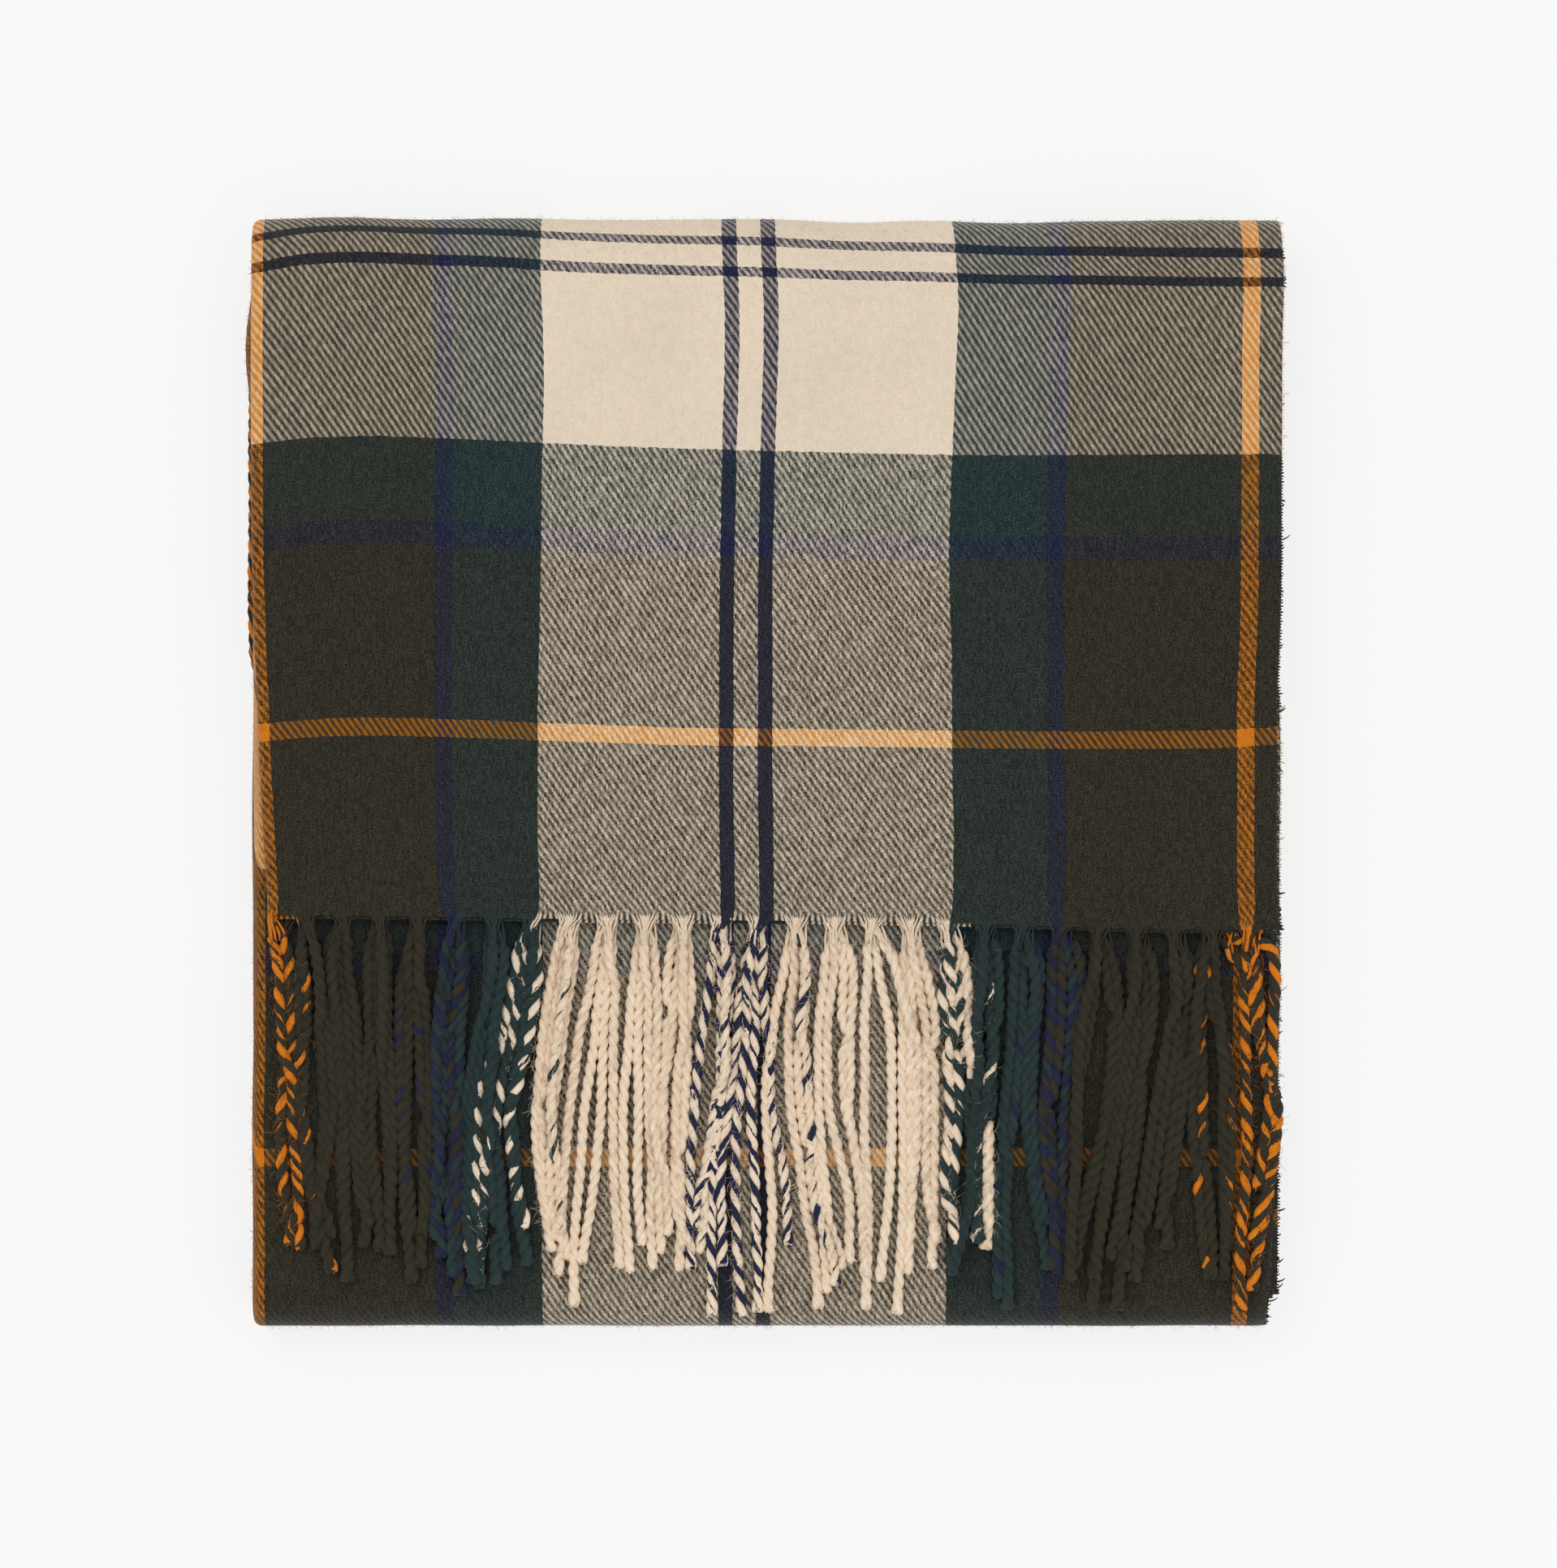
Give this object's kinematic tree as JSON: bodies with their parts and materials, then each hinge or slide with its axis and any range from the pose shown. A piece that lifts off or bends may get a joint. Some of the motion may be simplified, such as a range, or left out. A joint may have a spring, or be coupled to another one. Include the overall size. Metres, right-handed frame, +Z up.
{
  "type": "folded throw blanket",
  "caption": "Fringed tartan twill throw, folded in four lengthwise and in five crosswise, whose fringed flap turns back over the far fold.",
  "frame": {"origin": "bottom centre of the folded throw, on the surface it lies on", "axes": "+Z up; +Y to the top fold, which the flap turns over; -Y to the fringe and the bottom fold; +X to the selvedges; -X to the long folded edge"},
  "size_m": [0.353, 0.377, 0.0309],
  "materials": {
    "tartan_cloth": "brushed 2/2 twill tartan in cream, dark olive, dark green, navy and ochre orange",
    "weft_ends": "cut yarn ends along the selvedges, in the colour of each weft",
    "fringe_cords": "twisted two-strand cords in the colours of the warp"
  },
  "bodies": {
    "stack": {"top_fold": "tartan_cloth", "base_panel": "tartan_cloth", "bottom_fold": "tartan_cloth", "inner_panel_1": "tartan_cloth", "inner_top_fold": "tartan_cloth", "inner_panel_2": "tartan_cloth", "inner_bottom_fold": "tartan_cloth", "inner_panel_3": "tartan_cloth", "top_fold_weft_ends": "weft_ends", "base_panel_weft_ends": "weft_ends", "bottom_fold_weft_ends": "weft_ends", "inner_panel_1_weft_ends": "weft_ends", "inner_top_fold_weft_ends": "weft_ends", "inner_panel_2_weft_ends": "weft_ends", "inner_bottom_fold_weft_ends": "weft_ends", "inner_panel_3_weft_ends": "weft_ends", "far_fringe_ply_1": "fringe_cords", "far_fringe_ply_2": "fringe_cords", "far_fringe_ply_3": "fringe_cords", "far_fringe_ply_4": "fringe_cords"},
    "flap": {"flap_panel": "tartan_cloth", "flap_panel_weft_ends": "weft_ends", "front_fringe_ply_1": "fringe_cords", "front_fringe_ply_2": "fringe_cords", "front_fringe_ply_3": "fringe_cords", "front_fringe_ply_4": "fringe_cords"}
  },
  "joints": [
    {"name": "flap_fold", "type": "hinge", "parent": "stack", "child": "flap", "pos_m": [0, 0.1885, 0.01544], "axis": [-1, 0, 0], "range_deg": [0, 180], "deforming": ["top_fold", "top_fold_weft_ends"]}
  ]
}
